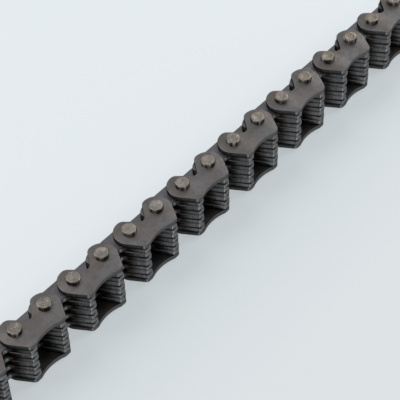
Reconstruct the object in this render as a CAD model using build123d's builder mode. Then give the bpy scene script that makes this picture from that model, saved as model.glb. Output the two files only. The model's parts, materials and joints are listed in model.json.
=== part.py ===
"""Open strand of an inverted-tooth timing chain, lying on its side on the ends of its pins.

+X runs along the strand, the toes point to -Y and the pins stand along +Z.
The origin is under the middle of the strand, on the plane that the pins stand on.
Guide rows carry two pins, two outer guide plates and the odd link plates.
Inner rows fill the spaces between them and turn on the pins of their neighbours.
"""

import os
from math import asin, atan2, cos, degrees, hypot, radians, tan

from build123d import *

# Chain size
pitch = 6.35
row_pairs = 9
inner_row_plates = 4

# Thickness of the plates and the side clearance between neighbours
link_plate_thickness = 1.0
guide_plate_thickness = 0.85
side_clearance = 0.05

# Outline shared by every plate
lobe_radius = 2.62
flank_angle = 32.0

# Link plate outline
toe_depth = 4.0
toe_inner_offset = 0.5
crotch_radius = 1.35
crotch_angle = 30.0
toe_corner_break = 0.2

# Guide plate outline
guide_toe_depth = 3.95
guide_tip_width = 1.15
guide_corner_radius = 0.7
guide_arch_rise = 0.5
guide_notch_depth = 2.7
guide_notch_radius = 0.8
guide_shoulder_radius = 1.3

# Pins and their fits
pin_diameter = 2.4
pin_stand_out = 0.8
pin_chamfer = 0.12
guide_bore_clearance = 0.0
guide_row_bore_clearance = 0.015
hinge_clearance = 0.04

# Places worked out from the sizes above
half_pitch = pitch / 2
pin_radius = pin_diameter / 2
layer_count = 2 * inner_row_plates - 1
layer_pitch = link_plate_thickness + side_clearance
lower_guide_z = pin_stand_out
first_layer_z = lower_guide_z + guide_plate_thickness + side_clearance
upper_guide_z = first_layer_z + layer_count * layer_pitch
pin_length = upper_guide_z + guide_plate_thickness + pin_stand_out
pitch_line_y = (max(toe_depth, guide_toe_depth) - lobe_radius) / 2


def link_centre_x(link):
    """Middle of a link, counted from 0 at the -X end of the strand."""
    return (link + 0.5 - row_pairs) * pitch


def link_plane(link, height):
    """Plane of one link: its origin lies midway between the two pin centres."""
    return Plane((link_centre_x(link), pitch_line_y, height))


def toe_outer_x(depth):
    """Distance from the middle of a link to where its flank reaches a depth."""
    lean = radians(flank_angle)
    return half_pitch + lobe_radius / cos(lean) - depth * tan(lean)


def link_plates(link, layers, bore_clearance):
    """Link plates with a straight back, two toes and a deep crotch."""
    toe_outer = (toe_outer_x(toe_depth), -toe_depth)
    toe_inner = (half_pitch - toe_inner_offset, -toe_depth)
    lean = radians(crotch_angle)
    root_rise = (toe_inner[0] - crotch_radius / cos(lean)) / tan(lean)
    root_centre = (0, root_rise - toe_depth)
    with BuildPart() as plates:
        for layer in layers:
            with BuildSketch(link_plane(link, first_layer_z + layer * layer_pitch)) as profile:
                with BuildLine():
                    Line((0, lobe_radius), (half_pitch, lobe_radius))
                    lobe = CenterArc((half_pitch, 0), lobe_radius, 90, -90 - flank_angle)
                    Line(lobe @ 1, toe_outer)
                    Line(toe_outer, toe_inner)
                    root = CenterArc(root_centre, crotch_radius, 90, crotch_angle - 90)
                    Line(toe_inner, root @ 1)
                    mirror(about=Plane.YZ)
                make_face()
                chamfer(profile.vertices().group_by(Axis.Y)[0], toe_corner_break)
                with Locations((-half_pitch, 0), (half_pitch, 0)):
                    Circle(pin_radius + bore_clearance, mode=Mode.SUBTRACT)
            extrude(amount=link_plate_thickness)
    return plates


def notch_slope():
    """Slope of the notch's straight side, which meets its floor and shoulder arcs smoothly."""
    rise = guide_notch_depth - guide_notch_radius - guide_shoulder_radius
    reach = guide_notch_radius + guide_shoulder_radius
    return degrees(atan2(rise, half_pitch) + asin(reach / hypot(half_pitch, rise)))


def guide_plate(link, height):
    """Guide plate with two round lobes, a V notch in its back and a shallow arch."""
    slope = notch_slope()
    floor_centre = (0, lobe_radius - guide_notch_depth + guide_notch_radius)
    shoulder_centre = (half_pitch, lobe_radius - guide_shoulder_radius)
    toe_outer = (toe_outer_x(guide_toe_depth), -guide_toe_depth)
    toe_inner = (toe_outer[0] - guide_tip_width, -guide_toe_depth)
    arch_radius = (toe_inner[0] ** 2 + guide_arch_rise**2) / (2 * guide_arch_rise)
    arch_centre = (0, guide_arch_rise - guide_toe_depth - arch_radius)
    arch_half_angle = degrees(asin(toe_inner[0] / arch_radius))
    with BuildPart() as plate:
        with BuildSketch(link_plane(link, height)) as profile:
            with BuildLine():
                notch_floor = CenterArc(floor_centre, guide_notch_radius, 270, slope)
                shoulder = CenterArc(shoulder_centre, guide_shoulder_radius, 90 + slope, -slope)
                Line(notch_floor @ 1, shoulder @ 0)
                lobe = CenterArc((half_pitch, 0), lobe_radius, 90, -90 - flank_angle)
                Line(lobe @ 1, toe_outer)
                Line(toe_outer, toe_inner)
                CenterArc(arch_centre, arch_radius, 90 - arch_half_angle, arch_half_angle)
                mirror(about=Plane.YZ)
            make_face()
            fillet(profile.vertices().group_by(Axis.Y)[0], guide_corner_radius)
            with Locations((-half_pitch, 0), (half_pitch, 0)):
                Circle(pin_radius + guide_bore_clearance, mode=Mode.SUBTRACT)
        extrude(amount=guide_plate_thickness)
    return plate


def row_pins(link):
    """The two round pins of a guide row, chamfered at both ends."""
    with BuildPart() as pins:
        with BuildSketch(link_plane(link, 0)):
            with Locations((-half_pitch, 0), (half_pitch, 0)):
                Circle(pin_radius)
        extrude(amount=pin_length)
        chamfer(pins.edges().filter_by(GeomType.CIRCLE), pin_chamfer)
    return pins


def save(name, builder):
    """Label one finished piece and write it to its own file."""
    builder.part.label = name
    export_step(builder.part, f"parts/{name}.step")


os.makedirs("parts", exist_ok=True)

guide_layers = range(1, layer_count, 2)
outer_layers = (0, layer_count - 1)
middle_layers = range(2, layer_count - 1, 2)

for pair in range(row_pairs):
    link = 2 * pair
    row = f"guide_row_{pair + 1}"
    save(f"{row}_lower_guide_plate", guide_plate(link, lower_guide_z))
    save(f"{row}_upper_guide_plate", guide_plate(link, upper_guide_z))
    save(f"{row}_link_plates", link_plates(link, guide_layers, guide_row_bore_clearance))
    save(f"{row}_pins", row_pins(link))

for pair in range(row_pairs):
    link = 2 * pair + 1
    row = f"inner_row_{pair + 1}"
    save(f"{row}_outer_link_plates", link_plates(link, outer_layers, hinge_clearance))
    save(f"{row}_middle_link_plates", link_plates(link, middle_layers, hinge_clearance))

print(f"strand length {2 * row_pairs * pitch + 2 * lobe_radius:.2f} mm")
print(f"over the guide plates {pin_length - 2 * pin_stand_out:.2f} mm, over the pins {pin_length:.2f} mm")
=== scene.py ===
"""Looks of a strand of inverted-tooth timing chain: stamped plates, bright pins, pale studio."""

import json
from math import asin, atan2, cos, hypot, pi, radians, sin, tan
from types import SimpleNamespace

import bmesh
import bpy
from mathutils import Matrix, Vector


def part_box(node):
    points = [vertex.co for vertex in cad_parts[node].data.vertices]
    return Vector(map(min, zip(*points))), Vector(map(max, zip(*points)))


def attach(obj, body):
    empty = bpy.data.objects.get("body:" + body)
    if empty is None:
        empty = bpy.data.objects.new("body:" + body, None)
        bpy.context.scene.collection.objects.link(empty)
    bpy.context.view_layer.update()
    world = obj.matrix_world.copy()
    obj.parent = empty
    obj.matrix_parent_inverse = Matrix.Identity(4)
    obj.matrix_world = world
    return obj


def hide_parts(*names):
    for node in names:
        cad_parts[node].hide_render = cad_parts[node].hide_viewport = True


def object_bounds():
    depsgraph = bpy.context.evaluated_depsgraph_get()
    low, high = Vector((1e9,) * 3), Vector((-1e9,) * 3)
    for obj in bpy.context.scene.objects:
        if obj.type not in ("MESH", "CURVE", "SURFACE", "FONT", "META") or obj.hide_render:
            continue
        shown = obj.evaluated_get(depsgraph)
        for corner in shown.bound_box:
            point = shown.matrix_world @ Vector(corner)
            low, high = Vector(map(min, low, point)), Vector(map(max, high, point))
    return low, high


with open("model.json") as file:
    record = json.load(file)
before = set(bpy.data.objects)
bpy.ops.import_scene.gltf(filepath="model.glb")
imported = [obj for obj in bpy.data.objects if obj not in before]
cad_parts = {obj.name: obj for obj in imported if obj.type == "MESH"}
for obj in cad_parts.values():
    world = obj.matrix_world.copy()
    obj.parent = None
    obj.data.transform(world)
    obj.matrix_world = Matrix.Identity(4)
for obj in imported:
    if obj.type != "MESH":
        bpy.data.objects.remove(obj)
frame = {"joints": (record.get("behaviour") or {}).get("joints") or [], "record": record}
cad_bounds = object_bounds()

MM = 0.001

# Plate sizes, as in the solids
PITCH = 6.35 * MM
LINK_PLATE_THICKNESS = 1.0 * MM
GUIDE_PLATE_THICKNESS = 0.85 * MM
SIDE_CLEARANCE = 0.05 * MM
LAYER_PITCH = LINK_PLATE_THICKNESS + SIDE_CLEARANCE
LOBE_RADIUS = 2.62 * MM
FLANK_ANGLE = radians(32)
TOE_DEPTH = 4.0 * MM
TOE_INNER_OFFSET = 0.5 * MM
CROTCH_RADIUS = 1.35 * MM
CROTCH_ANGLE = radians(30)
TOE_CORNER_RADIUS = 0.34 * MM
GUIDE_TOE_DEPTH = 3.95 * MM
GUIDE_TIP_WIDTH = 1.15 * MM
GUIDE_CORNER_RADIUS = 0.7 * MM
GUIDE_ARCH_RISE = 0.5 * MM
GUIDE_NOTCH_DEPTH = 2.7 * MM
GUIDE_NOTCH_RADIUS = 0.8 * MM
GUIDE_SHOULDER_RADIUS = 1.3 * MM
PIN_RADIUS = 1.2 * MM
PIN_STAND_OUT = 0.8 * MM
PIN_CHAMFER = 0.12 * MM
GUIDE_BORE_RADIUS = PIN_RADIUS
GUIDE_ROW_BORE_RADIUS = PIN_RADIUS + 0.015 * MM
INNER_ROW_BORE_RADIUS = PIN_RADIUS + 0.04 * MM
HALF_PITCH = PITCH / 2

# Layers that the plates of each row fill, counted from the lowest
GUIDE_ROW_LAYERS = (1, 3, 5)
OUTER_LAYERS = (0, 6)
MIDDLE_LAYERS = (2, 4)

# Edge that the punch draws down, on the thick and the thin plates, and the small burr side
LINK_DIE_ROLL = 0.14 * MM
GUIDE_DIE_ROLL = 0.09 * MM
BURR_BREAK = 0.04 * MM

# Turned dish in the ends of the pins, and the easing of their chamfer
DISH_DEPTH = 0.025 * MM
DISH_FLOOR_RADIUS = 0.45 * PIN_RADIUS
DISH_WALL_RADIUS = 0.52 * PIN_RADIUS
DISH_RIM_RADIUS = 0.56 * PIN_RADIUS
CHAMFER_EASE = 0.03 * MM

# Half the width of the table
TABLE_REACH = 3.0

# Fineness of the round forms
ARC_STEP = radians(6)
EDGE_STEPS = 3
PIN_SEGMENTS = 56
SHARP_ANGLE = radians(38)
LEAST_POINT_GAP = 0.05 * MM

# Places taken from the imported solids
PITCH_LINE_Y = frame["joints"][0]["pos_m"][1]
STRAND_END_X = cad_bounds[1][0]
PIN_TOP = cad_bounds[1][2]
TOE_TIP_Y = PITCH_LINE_Y - TOE_DEPTH
FIRST_LAYER_Z = PIN_STAND_OUT + GUIDE_PLATE_THICKNESS + SIDE_CLEARANCE
INNER_FACE_OFF_MIDDLE = PIN_TOP / 2 - PIN_STAND_OUT - GUIDE_PLATE_THICKNESS

# Colours of the steel's faces, the guide's inner face painted darker as shade, and old oil, whose colour
# also paints shade
GUIDE_FACE = (0.166, 0.157, 0.153)
GUIDE_INNER_FACE_SHADE = (0.095, 0.088, 0.082)
LINK_FACE = (0.182, 0.18, 0.194)
OIL_AND_SHADE_TONE = (0.02, 0.0175, 0.015)
THIN_OIL_AND_SHADE = (0.052, 0.0455, 0.039)

# Tint of the metal's edge reflection, clean, and where oil and painted shade dull it
EDGE_TINT = (0.3, 0.3, 0.31)
OIL_AND_SHADE_EDGE_TINT = (0.0, 0.0, 0.0)

# Mean roughness of the faces, and the range of the sheared walls
GUIDE_ROUGHNESS = 0.48
GUIDE_WALL_ROUGHNESS = (0.55, 0.7)
LINK_ROUGHNESS = 0.4
LINK_WALL_ROUGHNESS = (0.3, 0.45)

# Textures: features to the metre, detail and, for some, how rough the detail is
PLATE_CLOUDS = (330, 4)
PLATE_STAINS = (800, 4, 0.65)
PLATE_MOTTLE = (2600, 3)
PLATE_SCUFFS = (3800, 5, 0.7)
TOOL_MARKS = (4200, 3)
PIN_CLOUDS = (900, 3)
PIN_GLINT_STREAKS = (1500, 2)
PIN_GRAIN = (3600, 4)

# How textures are drawn out: scuffs run along the strand, tool marks and the painted glint streaks of the
# pins run upright
ALONG_STRAND = (0.25, 1, 1)
UPRIGHT_MARKS = (1, 1, 0.15)
UPRIGHT_GLINT_STREAKS = (1, 1, 0.08)

# Values between which a texture turns from one tone to the other, and its usual range
SOFT_TURN = (0.35, 0.65)
WIDE_TURN = (0.3, 0.7)

# Depth of the fine relief of the steel
RELIEF_DEPTH = 0.02 * MM

# Reach of the painted shade along a guide's inner edge, of the oil at the lobes, of the painted glints at
# the toe corners, and of the oil up the walls from the toes
INNER_EDGE_SHADE = 0.1 * MM
LOBE_OIL_FADE = 0.3 * MM
TOE_GLINT_HEIGHT = 0.5 * MM
TOE_WEAR_AND_GLINT_HEIGHT = 0.9 * MM
HINGE_OIL_HEIGHT = 2.3 * MM

# Heights between which painted shade darkens the link walls towards the guide plate above
UNSHADED_LAYERS_TOP = 3.5 * MM
SHADED_LAYERS_TOP = 8 * MM

# Painted shade in the grooves between the plates, in shares of a layer from a plate's lower face, which
# lies a margin above the layer's
FLANK_GROOVE_SHADE = (0.12, 0.3)
CROTCH_GROOVE_SHADE = (0.66, 0.84)
LAYER_MARGIN = 0.01 * MM

# Where a link's lobe ends, in double pitches from its middle
LOBE_END = (0.4, 0.41)

# Painted shade in the notches: how far below the pitch line it starts and is full, and the unshaded end of
# the strand
NOTCH_SHADE_START = 0.4 * MM
NOTCH_SHADE_FULL = 0.2 * MM
UNSHADED_END = 1 * MM


def link_place(node):
    """Middle of a link on its pitch line, from the node's own box."""
    low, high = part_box(node)
    return Vector(((low.x + high.x) / 2, PITCH_LINE_Y))


# Outlines of the plates and bores, closed and clockwise


def arc(centre, radius, start, sweep):
    """Points of an arc, both ends included."""
    steps = max(2, round(abs(sweep) / ARC_STEP))
    angles = [start + sweep * i / steps for i in range(steps + 1)]
    return [Vector((centre[0] + radius * cos(a), centre[1] + radius * sin(a))) for a in angles]


def rounded(before, corner, after, radius):
    """Arc that rounds the corner between two straight runs."""
    to_before = (before - corner).normalized()
    to_after = (after - corner).normalized()
    half = to_before.angle(to_after) / 2
    middle = (to_before + to_after).normalized()
    centre = corner + middle * (radius / sin(half))
    first = corner + to_before * (radius / tan(half)) - centre
    last = corner + to_after * (radius / tan(half)) - centre
    start = atan2(first.y, first.x)
    sweep = atan2(last.y, last.x) - start
    sweep = (sweep + pi) % (2 * pi) - pi
    return arc(centre, radius, start, sweep)


def mirrored(half):
    """Closed outline from its right half, which starts and ends on the middle line."""
    left = [Vector((-point.x, point.y)) for point in reversed(half)]
    return half + left[1:-1]


def toe_outer(depth):
    """Corner where the flank would meet the toe's flat tip."""
    return Vector((HALF_PITCH + LOBE_RADIUS / cos(FLANK_ANGLE) - depth * tan(FLANK_ANGLE), -depth))


def link_outline():
    """Link plate: straight back, round lobes, slanted flanks, deep crotch."""
    outer = toe_outer(TOE_DEPTH)
    inner = Vector((HALF_PITCH - TOE_INNER_OFFSET, -TOE_DEPTH))
    root_rise = (inner.x - CROTCH_RADIUS / cos(CROTCH_ANGLE)) / tan(CROTCH_ANGLE)
    root = arc((0, root_rise - TOE_DEPTH), CROTCH_RADIUS, CROTCH_ANGLE, pi / 2 - CROTCH_ANGLE)
    lobe = arc((HALF_PITCH, 0), LOBE_RADIUS, pi / 2, -pi / 2 - FLANK_ANGLE)
    half = [Vector((0, LOBE_RADIUS))] + lobe
    half += rounded(lobe[-1], outer, inner, TOE_CORNER_RADIUS)
    half += rounded(outer, inner, root[0], TOE_CORNER_RADIUS)
    return mirrored(half + root)


def notch_slope():
    """Slope of the notch's straight side, which meets its floor and shoulder arcs smoothly."""
    rise = GUIDE_NOTCH_DEPTH - GUIDE_NOTCH_RADIUS - GUIDE_SHOULDER_RADIUS
    reach = GUIDE_NOTCH_RADIUS + GUIDE_SHOULDER_RADIUS
    return atan2(rise, HALF_PITCH) + asin(reach / hypot(HALF_PITCH, rise))


def guide_outline():
    """Guide plate: two round lobes with a V notch between, slanted flanks, shallow arch."""
    slope = notch_slope()
    floor_centre = (0, LOBE_RADIUS - GUIDE_NOTCH_DEPTH + GUIDE_NOTCH_RADIUS)
    shoulder_centre = (HALF_PITCH, LOBE_RADIUS - GUIDE_SHOULDER_RADIUS)
    outer = toe_outer(GUIDE_TOE_DEPTH)
    inner = Vector((outer.x - GUIDE_TIP_WIDTH, -GUIDE_TOE_DEPTH))
    arch_radius = (inner.x**2 + GUIDE_ARCH_RISE**2) / (2 * GUIDE_ARCH_RISE)
    arch_angle = asin(inner.x / arch_radius)
    arch_centre = (0, GUIDE_ARCH_RISE - GUIDE_TOE_DEPTH - arch_radius)
    arch = arc(arch_centre, arch_radius, pi / 2 - arch_angle, arch_angle)
    lobe = arc((HALF_PITCH, 0), LOBE_RADIUS, pi / 2, -pi / 2 - FLANK_ANGLE)
    half = arc(floor_centre, GUIDE_NOTCH_RADIUS, -pi / 2, slope)
    half += arc(shoulder_centre, GUIDE_SHOULDER_RADIUS, pi / 2 + slope, -slope)
    half += lobe[1:]
    half += rounded(lobe[-1], outer, inner, GUIDE_CORNER_RADIUS)
    tip_end = rounded(outer, inner, arch[1], GUIDE_CORNER_RADIUS)
    half += tip_end
    half += [point for point in arch if point.x < tip_end[-1].x - LEAST_POINT_GAP]
    return mirrored(half)


def bore_outlines(radius):
    """The two bores of a plate.

    Known fault: they run clockwise too, so their edges draw in at the faces instead of opening,
    and their walls face into the metal. Counterclockwise arcs would put both right.
    """
    sweep = 2 * pi - ARC_STEP
    return [arc((x, 0), radius, 0, -sweep) for x in (-HALF_PITCH, HALF_PITCH)]


# Meshes of the plates and pins


def inset(outline, distance):
    """The outline moved to its right-hand side: into the metal of a plate, towards the middle of a bore."""
    least_cosine = 0.5
    moved = []
    count = len(outline)
    for i, point in enumerate(outline):
        along = (point - outline[i - 1]).normalized()
        onward = (outline[(i + 1) % count] - point).normalized()
        normals = [Vector((d.y, -d.x)) for d in (along, onward)]
        middle = (normals[0] + normals[1]).normalized()
        moved.append(point + middle * (distance / max(least_cosine, middle.dot(normals[0]))))
    return moved


def rounded_edge(radius):
    """Steps from a face to the wall: how far inside the wall, and how far off the face."""
    angles = [pi / 2 * i / EDGE_STEPS for i in range(EDGE_STEPS + 1)]
    return [(radius * (1 - sin(a)), radius * (1 - cos(a))) for a in angles]


def add_plate(mesh, outline, bores, place, low_z, high_z, low_round, high_round):
    """Stamped plate whose lower and upper edges are rounded all along its outline."""
    levels = [(depth, low_z + off_face) for depth, off_face in rounded_edge(low_round)]
    levels += [(depth, high_z - off_face) for depth, off_face in reversed(rounded_edge(high_round))]
    rims = {0: [], len(levels) - 1: []}
    for loop in [outline] + bores:
        rings = []
        for depth, z in levels:
            points = inset(loop, depth)
            rings.append([mesh.verts.new((place.x + p.x, place.y + p.y, z)) for p in points])
        count = len(loop)
        for lower, upper in zip(rings, rings[1:]):
            for i in range(count):
                j = (i + 1) % count
                side = mesh.faces.new((lower[j], lower[i], upper[i], upper[j]))
                side.smooth = True
        for level, edges in rims.items():
            ring = rings[level]
            edges += [mesh.edges.get((ring[i], ring[(i + 1) % count])) for i in range(count)]
    for level, edges in rims.items():
        facing = -1 if level == 0 else 1
        filled = bmesh.ops.triangle_fill(mesh, edges=edges, use_beauty=True, normal=(0, 0, facing))
        for face in filled["geom"]:
            if isinstance(face, bmesh.types.BMFace):
                face.smooth = False
                face.normal_update()
                if face.normal.z * facing < 0:
                    face.normal_flip()


def pin_profile():
    """Radius and height of each ring of a pin, from the middle of its top to the middle of its foot."""
    face_radius = PIN_RADIUS - PIN_CHAMFER
    end = [(0, -DISH_DEPTH), (DISH_FLOOR_RADIUS, -DISH_DEPTH)]
    end += [(DISH_WALL_RADIUS, -DISH_DEPTH / 2), (DISH_RIM_RADIUS, 0), (face_radius, 0)]
    end += [(face_radius + CHAMFER_EASE, -0.4 * CHAMFER_EASE)]
    end += [(PIN_RADIUS - CHAMFER_EASE, CHAMFER_EASE - PIN_CHAMFER)]
    end += [(PIN_RADIUS, -PIN_CHAMFER - CHAMFER_EASE)]
    return [(r, PIN_TOP + z) for r, z in end] + [(r, -z) for r, z in reversed(end)]


def add_pin(mesh, place):
    """Round pin with a chamfer and a faint turned ring at each end."""
    angles = [2 * pi * i / PIN_SEGMENTS for i in range(PIN_SEGMENTS)]
    rings = []
    for radius, z in pin_profile():
        if radius == 0:
            rings.append([mesh.verts.new((place.x, place.y, z))])
            continue
        points = [(place.x + radius * cos(a), place.y + radius * sin(a), z) for a in angles]
        rings.append([mesh.verts.new(point) for point in points])
    for upper, lower in zip(rings, rings[1:]):
        for i in range(PIN_SEGMENTS):
            j = (i + 1) % PIN_SEGMENTS
            if len(upper) == 1:
                corners = (upper[0], lower[i], lower[j])
            elif len(lower) == 1:
                corners = (upper[i], lower[0], upper[j])
            else:
                corners = (upper[i], lower[i], lower[j], upper[j])
            mesh.faces.new(corners).smooth = True


def new_piece(name, mesh):
    """Object from a finished mesh, with its normals kept crisp at the sharp edges."""
    data = bpy.data.meshes.new(name)
    mesh.to_mesh(data)
    mesh.free()
    data.set_sharp_from_angle(angle=SHARP_ANGLE)
    piece = bpy.data.objects.new(name, data)
    bpy.context.scene.collection.objects.link(piece)
    return piece


def dress(name, body, node, material, mesh):
    """The finished piece stands for its solid and rides on the same body."""
    piece = new_piece(name, mesh)
    piece.data.materials.append(material)
    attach(piece, body)
    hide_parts(node)


# Building blocks of the materials


def nodes_of(material):
    """Fresh node tree with its output and main shader."""
    material.use_nodes = True
    tree = material.node_tree
    tree.nodes.clear()
    output = tree.nodes.new("ShaderNodeOutputMaterial")
    shader = tree.nodes.new("ShaderNodeBsdfPrincipled")
    tree.links.new(shader.outputs["BSDF"], output.inputs["Surface"])
    return tree, shader


def noise(tree, vector, scale, detail, roughness=0.55):
    """Noise of so many features to the metre."""
    node = tree.nodes.new("ShaderNodeTexNoise")
    node.inputs["Scale"].default_value = scale
    node.inputs["Detail"].default_value = detail
    node.inputs["Roughness"].default_value = roughness
    tree.links.new(vector, node.inputs["Vector"])
    return node.outputs["Fac"]


def split(tree, vector):
    """X, Y and Z of a vector."""
    node = tree.nodes.new("ShaderNodeSeparateXYZ")
    tree.links.new(vector, node.inputs["Vector"])
    return node.outputs


def stretch(tree, vector, scale):
    """The same coordinates, stretched along each axis."""
    node = tree.nodes.new("ShaderNodeMapping")
    node.inputs["Scale"].default_value = scale
    tree.links.new(vector, node.inputs["Vector"])
    return node.outputs["Vector"]


def ramp(tree, value, low, high, low_out=0.0, high_out=1.0):
    """Value mapped from one range to another, clamped."""
    node = tree.nodes.new("ShaderNodeMapRange")
    for name, number in (("From Min", low), ("From Max", high), ("To Min", low_out), ("To Max", high_out)):
        node.inputs[name].default_value = number
    tree.links.new(value, node.inputs["Value"])
    return node.outputs["Result"]


def fall(tree, value, low, high):
    """1 up to the low value, falling to 0 at the high one."""
    return ramp(tree, value, low, high, 1.0, 0.0)


def blend_colour(tree, factor, first, second):
    """Mix of two colours, each a tuple or another node's output."""
    node = tree.nodes.new("ShaderNodeMix")
    node.data_type = "RGBA"
    tree.links.new(factor, node.inputs["Factor"])
    for socket, colour in ((node.inputs[6], first), (node.inputs[7], second)):
        if isinstance(colour, tuple):
            socket.default_value = (*colour, 1)
        else:
            tree.links.new(colour, socket)
    return node.outputs[2]


def combine(tree, operation, first, second):
    """Two values put together by one operation."""
    node = tree.nodes.new("ShaderNodeMath")
    node.operation = operation
    for socket, value in zip(node.inputs, (first, second)):
        if isinstance(value, (int, float)):
            socket.default_value = value
        else:
            tree.links.new(value, socket)
    return node.outputs["Value"]


def product(tree, first, second):
    """One value times another."""
    return combine(tree, "MULTIPLY", first, second)


def larger(tree, first, second):
    """The larger of two values."""
    return combine(tree, "MAXIMUM", first, second)


def absolute(tree, value):
    """The value without its sign."""
    return combine(tree, "ABSOLUTE", value, 0)


def fraction(tree, value):
    """What the value has past its whole number."""
    return combine(tree, "FRACT", value, 0)


def near(tree, value, centre, half_width):
    """1 about the centre, falling to 0 at half the width from it."""
    full_share = 0.35
    away = absolute(tree, combine(tree, "SUBTRACT", value, centre))
    return fall(tree, away, full_share * half_width, half_width)


def shade(colour, factor):
    """The same colour, lighter or darker."""
    return tuple(factor * channel for channel in colour)


def tinted(colour, factors):
    """The colour with each channel times its own factor."""
    return tuple(factor * channel for factor, channel in zip(factors, colour))


def bump(tree, height, strength, distance, shader):
    """Fine relief from a height."""
    node = tree.nodes.new("ShaderNodeBump")
    node.inputs["Strength"].default_value = strength
    node.inputs["Distance"].default_value = distance
    tree.links.new(height, node.inputs["Height"])
    tree.links.new(node.outputs["Normal"], shader.inputs["Normal"])


# Steel of the plates


def plate_nodes(name, side_limit):
    """New steel, with the places, directions and textures that the looks of a plate are made from.

    Side is 1 on walls and falls to 0 where the upright part of the normal reaches the limit.
    """
    material = bpy.data.materials.new(name)
    tree, shader = nodes_of(material)
    coords = tree.nodes.new("ShaderNodeTexCoord")
    around = coords.outputs["Object"]
    facing = split(tree, coords.outputs["Normal"])
    upright = absolute(tree, facing["Z"])
    return SimpleNamespace(
        material=material,
        tree=tree,
        shader=shader,
        around=around,
        place=split(tree, around),
        facing=facing,
        upright=upright,
        side=fall(tree, upright, 0.3, side_limit),
        clouds=noise(tree, around, *PLATE_CLOUDS),
        mottle=noise(tree, around, *PLATE_MOTTLE),
        marks=noise(tree, stretch(tree, around, UPRIGHT_MARKS), *TOOL_MARKS),
    )


def face_tone(plate, face):
    """Satin face of a plate: warm and cool clouds, brown stains, dark mottle and light scuffs."""
    tree = plate.tree
    warm = tinted(face, (0.93, 0.88, 0.85))
    cool = tinted(face, (1.07, 1.1, 1.15))
    brown = tinted(face, (0.85, 0.76, 0.7))
    stains = noise(tree, plate.around, *PLATE_STAINS)
    scuffs = noise(tree, stretch(tree, plate.around, ALONG_STRAND), *PLATE_SCUFFS)
    tone = blend_colour(tree, ramp(tree, plate.clouds, *SOFT_TURN), warm, cool)
    tone = blend_colour(tree, ramp(tree, stains, 0.48, 0.64, 0.0, 0.75), tone, brown)
    tone = blend_colour(tree, ramp(tree, plate.mottle, 0.5, 0.75, 0.0, 0.3), tone, shade(face, 0.75))
    return blend_colour(tree, ramp(tree, scuffs, 0.6, 0.7, 0.0, 0.4), tone, shade(face, 1.7))


def lobe_sides(plate):
    """1 on the walls above the pitch line, which hold old oil."""
    above = ramp(plate.tree, plate.place["Y"], PITCH_LINE_Y, PITCH_LINE_Y + LOBE_OIL_FADE)
    return product(plate.tree, above, plate.side)


def finish_plate(plate, colour, dull, roughness, wall_roughness):
    """Colour, sheen and fine relief of a plate; where it is dull, under oil and painted shade, its edge
    reflection loses its tint.
    """
    tree = plate.tree
    shader = plate.shader
    tree.links.new(colour, shader.inputs["Base Color"])
    # Where oil and painted shade lie, the edge reflection loses its tint
    edge_tint = blend_colour(tree, dull, EDGE_TINT, OIL_AND_SHADE_EDGE_TINT)
    tree.links.new(edge_tint, shader.inputs["Specular Tint"])
    shader.inputs["Metallic"].default_value = 1.0
    rough = ramp(tree, plate.mottle, *WIDE_TURN, roughness - 0.06, roughness + 0.08)
    rough_wall = ramp(tree, plate.marks, *WIDE_TURN, *wall_roughness)
    added = product(tree, combine(tree, "SUBTRACT", rough_wall, rough), plate.side)
    tree.links.new(combine(tree, "ADD", rough, added), shader.inputs["Roughness"])
    tool_marks = product(tree, plate.marks, plate.side)
    relief = combine(tree, "ADD", tool_marks, product(tree, plate.mottle, 0.6))
    bump(tree, relief, 0.35, RELIEF_DEPTH, shader)


def guide_walls(plate, off_middle):
    """Sheared guide walls: dark flanks and lobes, painted shade in the oil's colour at the inner edge and
    on the back, the arch painted lighter, painted glints at the toe corners.
    """
    tree = plate.tree
    facing_y = plate.facing["Y"]
    dark = (0.065, 0.062, 0.061)
    light = (0.13, 0.126, 0.125)
    lit_arch_tone = (0.17, 0.165, 0.164)
    glint_tone = (0.42, 0.41, 0.4)
    walls = blend_colour(tree, ramp(tree, plate.marks, *SOFT_TURN), dark, light)
    # Painted shade: the walls are darkened to the oil colour along the inner face, at the gap to the link
    # plates
    full_shade = INNER_FACE_OFF_MIDDLE + INNER_EDGE_SHADE
    no_shade = INNER_FACE_OFF_MIDDLE + 3 * INNER_EDGE_SHADE
    walls = blend_colour(tree, fall(tree, off_middle, full_shade, no_shade), walls, OIL_AND_SHADE_TONE)
    # Painted light: the arch walls, which face the bright table, are coloured lighter
    arch = fall(tree, facing_y, -0.97, -0.85)
    walls = blend_colour(tree, arch, walls, lit_arch_tone)
    # Painted glint: a light colour on the rounded toe corners
    toe_corner_glint = product(tree, near(tree, facing_y, -0.75, 0.2), 0.7)
    walls = blend_colour(tree, toe_corner_glint, walls, glint_tone)
    # Painted shade: walls facing back, the dark notch walls among them, are darkened to the oil colour
    notch_and_back_shade = ramp(tree, facing_y, 0.15, 0.35, 0.0, 0.8)
    return blend_colour(tree, notch_and_back_shade, walls, OIL_AND_SHADE_TONE)


def make_guide_steel():
    """Steel of the guide plates: satin outer face, inner face painted darker as shade, dark sheared walls.
    """
    plate = plate_nodes("guide_steel", 0.95)
    tree = plate.tree
    off_middle = absolute(tree, combine(tree, "SUBTRACT", plate.place["Z"], PIN_TOP / 2))
    above_inner_face = INNER_FACE_OFF_MIDDLE + INNER_EDGE_SHADE
    # Painted shade: the inner face, hidden between the plates, gets a darker colour than the outer face
    inner_face_shade = fall(tree, off_middle, INNER_FACE_OFF_MIDDLE, above_inner_face)
    flat = blend_colour(tree, inner_face_shade, face_tone(plate, GUIDE_FACE), GUIDE_INNER_FACE_SHADE)
    colour = blend_colour(tree, plate.side, flat, guide_walls(plate, off_middle))
    finish_plate(plate, colour, lobe_sides(plate), GUIDE_ROUGHNESS, GUIDE_WALL_ROUGHNESS)
    return plate.material


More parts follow.
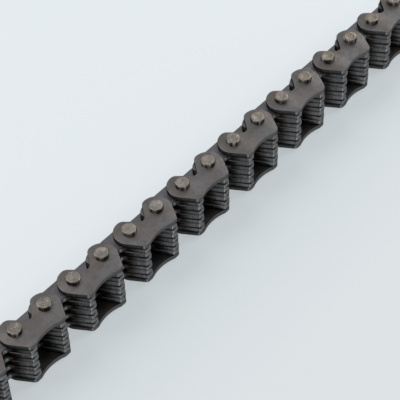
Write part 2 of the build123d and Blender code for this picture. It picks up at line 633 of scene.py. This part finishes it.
def link_walls(plate):
    """Sheared link walls: polished towards the toes and on the back, oiled dark at the hinge, with painted
    shade on the upper layers, painted light on the toe tips and painted glints at the toe corners.
    """
    tree = plate.tree
    facing_y = plate.facing["Y"]
    place_y = plate.place["Y"]
    dark = (0.11, 0.107, 0.108)
    light = (0.245, 0.238, 0.242)
    lit_tip_tone = (0.26, 0.256, 0.257)
    glint_tone = (0.5, 0.49, 0.48)
    polished = blend_colour(tree, ramp(tree, plate.marks, *SOFT_TURN), dark, light)
    above_toe = ramp(tree, place_y, TOE_TIP_Y + TOE_WEAR_AND_GLINT_HEIGHT, TOE_TIP_Y + HINGE_OIL_HEIGHT)
    # Painted shade: the walls darken upwards, towards the guide plate above, in the colour of thin oil
    upper_layer_shade = ramp(tree, plate.place["Z"], UNSHADED_LAYERS_TOP, SHADED_LAYERS_TOP, 0.0, 0.42)
    not_back = ramp(tree, facing_y, 0.4, 0.9, 1.0, 0.15)
    oil_and_painted_shade = product(tree, larger(tree, above_toe, upper_layer_shade), not_back)
    walls = blend_colour(tree, oil_and_painted_shade, polished, THIN_OIL_AND_SHADE)
    # Painted light: walls facing straight forward, the toe tips, are coloured lighter
    tip = fall(tree, facing_y, -0.98, -0.9)
    walls = blend_colour(tree, tip, walls, lit_tip_tone)
    # Painted glints: a light colour on the toe corners, varied by the clouds
    at_toe = fall(tree, place_y, TOE_TIP_Y + TOE_GLINT_HEIGHT, TOE_TIP_Y + TOE_WEAR_AND_GLINT_HEIGHT)
    corner = product(tree, near(tree, facing_y, -0.76, 0.2), at_toe)
    painted_corner_glint = product(tree, corner, ramp(tree, plate.clouds, 0.4, 0.6, 0.3, 1.0))
    return blend_colour(tree, painted_corner_glint, walls, glint_tone)


def painted_groove_shade(plate, off_centre):
    """Painted shade, in the oil's colour, low on the flanks, which stand proud, and high on the crotch
    sides beside them.
    """
    tree = plate.tree
    outward = ramp(tree, product(tree, off_centre, plate.facing["X"]), -0.01, 0.01)
    inward = combine(tree, "SUBTRACT", 1, outward)
    off_first = combine(tree, "SUBTRACT", plate.place["Z"], FIRST_LAYER_Z - LAYER_MARGIN)
    up_plate = fraction(tree, combine(tree, "DIVIDE", off_first, LAYER_PITCH))
    wander = product(tree, combine(tree, "SUBTRACT", plate.clouds, 0.5), 0.12)
    # Painted shade: dark bands at the plate edges where the proud plates overhang
    low = fall(tree, combine(tree, "ADD", up_plate, wander), *FLANK_GROOVE_SHADE)
    high = ramp(tree, combine(tree, "SUBTRACT", up_plate, wander), *CROTCH_GROOVE_SHADE)
    deep = larger(tree, product(tree, low, outward), product(tree, high, inward))
    faint = product(tree, larger(tree, low, high), 0.1)
    off_faces = fall(tree, plate.upright, 0.93, 0.99)
    return product(tree, larger(tree, deep, faint), off_faces)


def painted_notch_shade(plate, off_centre):
    """Painted shade, in the oil's colour, on the lobe ends that lie in the notches of the guide plates,
    with the free ends left unshaded.
    """
    tree = plate.tree
    lobe_end = ramp(tree, absolute(tree, off_centre), *LOBE_END)
    start = PITCH_LINE_Y - NOTCH_SHADE_START
    full = PITCH_LINE_Y - NOTCH_SHADE_FULL
    upper_half = ramp(tree, plate.place["Y"], start, full)
    from_middle = absolute(tree, plate.place["X"])
    inside = fall(tree, from_middle, STRAND_END_X - 2 * UNSHADED_END, STRAND_END_X - UNSHADED_END)
    return product(tree, product(tree, lobe_end, upper_half), inside)


def off_link_centre(plate, node):
    """Place along the chain from the middle of each link like the node's own, in double pitches."""
    tree = plate.tree
    centre = link_place(node).x / (2 * PITCH)
    double_pitches = combine(tree, "DIVIDE", plate.place["X"], 2 * PITCH)
    along = fraction(tree, combine(tree, "ADD", double_pitches, 0.5 - centre))
    return combine(tree, "SUBTRACT", along, 0.5)


def make_link_steel(name, node):
    """Steel of the link plates of one kind of row, to which the node belongs."""
    plate = plate_nodes(name, 0.75)
    tree = plate.tree
    colour = blend_colour(tree, plate.side, face_tone(plate, LINK_FACE), link_walls(plate))
    off_centre = off_link_centre(plate, node)
    # Painted shade in the oil's colour: dark lines between the plates and in the notches
    groove_and_notch_shade = larger(tree, painted_groove_shade(plate, off_centre), painted_notch_shade(plate, off_centre))
    colour = blend_colour(tree, groove_and_notch_shade, colour, OIL_AND_SHADE_TONE)
    dull = larger(tree, lobe_sides(plate), groove_and_notch_shade)
    finish_plate(plate, colour, dull, LINK_ROUGHNESS, LINK_WALL_ROUGHNESS)
    return plate.material


# Steel of the pins and finish of the table


def pin_end_tone(tree, around, grain):
    """Warm pale pin ends with dark and light speckles, browner towards the ends of the strand."""
    clear = (0.22, 0.2, 0.18)
    clear_light = (0.38, 0.348, 0.314)
    dark_speckle = (0.19, 0.168, 0.145)
    light_speckle = (0.62, 0.58, 0.52)
    brown = (0.19, 0.155, 0.13)
    dark_brown = (0.12, 0.102, 0.088)
    brown_turn = (-25 * MM, 50 * MM)
    dark_brown_turn = (-62 * MM, -18 * MM)
    clouds = noise(tree, around, *PIN_CLOUDS)
    along = split(tree, around)["X"]
    tone = blend_colour(tree, ramp(tree, clouds, *SOFT_TURN), clear, clear_light)
    tone = blend_colour(tree, ramp(tree, grain, 0.5, 0.66, 0.0, 0.6), tone, dark_speckle)
    tone = blend_colour(tree, ramp(tree, along, *brown_turn, 0.0, 0.85), tone, brown)
    tone = blend_colour(tree, ramp(tree, along, *dark_brown_turn, 0.75, 0.0), tone, dark_brown)
    return blend_colour(tree, ramp(tree, grain, 0.36, 0.42, 0.45, 0.0), tone, light_speckle)


def make_pin_steel():
    """Ground and hardened steel of the pins: pale warm ends, sides darkened by oil and painted shade, with
    light streaks of painted glint.
    """
    oil_and_painted_shade = (0.045, 0.036, 0.028)
    glint_streak = (0.42, 0.38, 0.33)
    material = bpy.data.materials.new("pin_steel")
    tree, shader = nodes_of(material)
    coords = tree.nodes.new("ShaderNodeTexCoord")
    around = coords.outputs["Object"]
    upright = absolute(tree, split(tree, coords.outputs["Normal"])["Z"])
    grain = noise(tree, around, *PIN_GRAIN)
    glint_streaks = noise(tree, stretch(tree, around, UPRIGHT_GLINT_STREAKS), *PIN_GLINT_STREAKS)
    # Painted glints and shade: light upright streaks on dark pin sides
    sides = blend_colour(tree, ramp(tree, glint_streaks, 0.42, 0.66), oil_and_painted_shade, glint_streak)
    ends = pin_end_tone(tree, around, grain)
    colour = blend_colour(tree, ramp(tree, upright, 0.75, 0.95), sides, ends)
    tree.links.new(colour, shader.inputs["Base Color"])
    shader.inputs["Metallic"].default_value = 1.0
    tree.links.new(ramp(tree, grain, *WIDE_TURN, 0.4, 0.56), shader.inputs["Roughness"])
    bump(tree, grain, 0.4, RELIEF_DEPTH, shader)
    return material


def make_table_finish():
    """Pale translucent table: its own glow lifts the shadow that the strand leaves on it, and a darker band
    just in front of the strand is painted shadow.
    """
    behind_tone = (0.78, 0.825, 0.85)
    painted_shadow_tone = (0.658, 0.716, 0.732)
    front_tone = (0.735, 0.764, 0.787)
    front_turn = (-30 * MM, -8 * MM)
    behind_turn = (-12 * MM, 12 * MM)
    glow_share = 0.6
    material = bpy.data.materials.new("table")
    tree, shader = nodes_of(material)
    coords = tree.nodes.new("ShaderNodeTexCoord")
    across = split(tree, coords.outputs["Object"])["Y"]
    # Painted shadow: the table is coloured darker in a band just in front of the strand
    shadowed_near_tone = blend_colour(tree, ramp(tree, across, *front_turn), front_tone, painted_shadow_tone)
    colour = blend_colour(tree, ramp(tree, across, *behind_turn), shadowed_near_tone, behind_tone)
    tree.links.new(colour, shader.inputs["Base Color"])
    shader.inputs["Roughness"].default_value = 0.35
    shader.inputs["Specular IOR Level"].default_value = 0.3
    glow = tree.nodes.new("ShaderNodeEmission")
    tree.links.new(colour, glow.inputs["Color"])
    light_path = tree.nodes.new("ShaderNodeLightPath")
    seen = larger(tree, light_path.outputs["Is Camera Ray"], light_path.outputs["Is Glossy Ray"])
    mix = tree.nodes.new("ShaderNodeMixShader")
    tree.links.new(product(tree, seen, glow_share), mix.inputs["Fac"])
    tree.links.new(shader.outputs["BSDF"], mix.inputs[1])
    tree.links.new(glow.outputs["Emission"], mix.inputs[2])
    output = next(node for node in tree.nodes if node.type == "OUTPUT_MATERIAL")
    tree.links.new(mix.outputs["Shader"], output.inputs["Surface"])
    return material


# What the rows are made from
GUIDE_FORM = guide_outline()
LINK_FORM = link_outline()
GUIDE_STEEL = make_guide_steel()
GUIDE_ROW_STEEL = make_link_steel("guide_row_link_steel", "guide_row_1_link_plates")
INNER_ROW_STEEL = make_link_steel("inner_row_link_steel", "inner_row_1_outer_link_plates")
PIN_STEEL = make_pin_steel()


def dress_link_plates(node, body, layers, bore_radius, steel):
    """The link plates of one node, one to a layer, their upper edges drawn down."""
    mesh = bmesh.new()
    bores = bore_outlines(bore_radius)
    for layer in layers:
        low_z = FIRST_LAYER_Z + layer * LAYER_PITCH
        high_z = low_z + LINK_PLATE_THICKNESS
        add_plate(mesh, LINK_FORM, bores, link_place(node), low_z, high_z, BURR_BREAK, LINK_DIE_ROLL)
    dress(f"{node}_finish", body, node, steel, mesh)


def dress_guide_plate(node, body, low_round, high_round):
    """One guide plate, rounded most on its outer side."""
    mesh = bmesh.new()
    low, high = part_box(node)
    bores = bore_outlines(GUIDE_BORE_RADIUS)
    add_plate(mesh, GUIDE_FORM, bores, link_place(node), low.z, high.z, low_round, high_round)
    dress(f"{node}_finish", body, node, GUIDE_STEEL, mesh)


def dress_pins(node, body):
    """The two pins of a guide row."""
    mesh = bmesh.new()
    place = link_place(node)
    for x in (-HALF_PITCH, HALF_PITCH):
        add_pin(mesh, place + Vector((x, 0)))
    dress(f"{node}_finish", body, node, PIN_STEEL, mesh)


def dress_guide_row(body):
    """Guide row: two guide plates, three link plates and two pins."""
    dress_guide_plate(f"{body}_lower_guide_plate", body, GUIDE_DIE_ROLL, BURR_BREAK)
    dress_guide_plate(f"{body}_upper_guide_plate", body, BURR_BREAK, GUIDE_DIE_ROLL)
    node = f"{body}_link_plates"
    dress_link_plates(node, body, GUIDE_ROW_LAYERS, GUIDE_ROW_BORE_RADIUS, GUIDE_ROW_STEEL)
    dress_pins(f"{body}_pins", body)


def dress_inner_row(body):
    """Inner row: four link plates, the outer two and the middle two."""
    for which, layers in (("outer", OUTER_LAYERS), ("middle", MIDDLE_LAYERS)):
        node = f"{body}_{which}_link_plates"
        dress_link_plates(node, body, layers, INNER_ROW_BORE_RADIUS, INNER_ROW_STEEL)


# Table, lamps and camera


def make_floor():
    """Wide table under the strand."""
    mesh = bmesh.new()
    bmesh.ops.create_grid(mesh, x_segments=1, y_segments=1, size=TABLE_REACH)
    floor = new_piece("table", mesh)
    floor.data.materials.append(make_table_finish())


def area_light(name, place, size, power, colour):
    """Large soft lamp aimed at the middle of the strand."""
    lamp = bpy.data.lights.new(name, "AREA")
    lamp.shape = "DISK"
    lamp.size = size
    lamp.energy = power
    lamp.color = colour
    holder = bpy.data.objects.new(name, lamp)
    holder.location = place
    holder.rotation_euler = (-Vector(place)).to_track_quat("-Z", "Y").to_euler()
    bpy.context.scene.collection.objects.link(holder)


def make_light():
    """Even room light with large lamps behind and to the right, and a weak one in front."""
    world = bpy.data.worlds.new("studio")
    bpy.context.scene.world = world
    world.use_nodes = True
    background = world.node_tree.nodes["Background"]
    background.inputs["Color"].default_value = (0.93, 0.97, 1.0, 1)
    background.inputs["Strength"].default_value = 0.55
    area_light("key", place=(-0.3, 0.45, 0.75), size=0.6, power=3.4, colour=(1.0, 0.985, 0.96))
    area_light("far", place=(1.3, 0.5, 0.8), size=0.6, power=4.0, colour=(1.0, 0.97, 0.93))
    area_light("fill", place=(0.5, -0.3, 0.45), size=0.25, power=1.2, colour=(0.96, 0.98, 1.0))


def make_camera():
    """Camera at the photo's angle, slightly rolled, as fitted to the pins and plate corners."""
    azimuth = radians(47.114)
    elevation = radians(48.245)
    roll = radians(-2.701)
    place = Vector((-131.885, -119.623, 200.929)) * MM
    right = Vector((cos(azimuth), -sin(azimuth), 0))
    ahead = Vector((sin(azimuth), cos(azimuth), 0)) * cos(elevation) - Vector((0, 0, sin(elevation)))
    up = right.cross(ahead)
    turned_right = right * cos(roll) + up * sin(roll)
    turned_up = up * cos(roll) - right * sin(roll)
    data = bpy.data.cameras.new("camera")
    data.sensor_width = 36
    data.lens = 144
    data.clip_start = 0.01
    camera = bpy.data.objects.new("camera", data)
    turn = Matrix((turned_right, turned_up, -ahead)).transposed()
    camera.matrix_world = Matrix.Translation(place) @ turn.to_4x4()
    bpy.context.scene.collection.objects.link(camera)
    bpy.context.scene.camera = camera


# The scene
for body in frame["record"]["behaviour"]["bodies"]:
    if body.startswith("guide_row"):
        dress_guide_row(body)
    else:
        dress_inner_row(body)

make_floor()
make_light()
make_camera()
bpy.context.scene.view_settings.view_transform = "Standard"
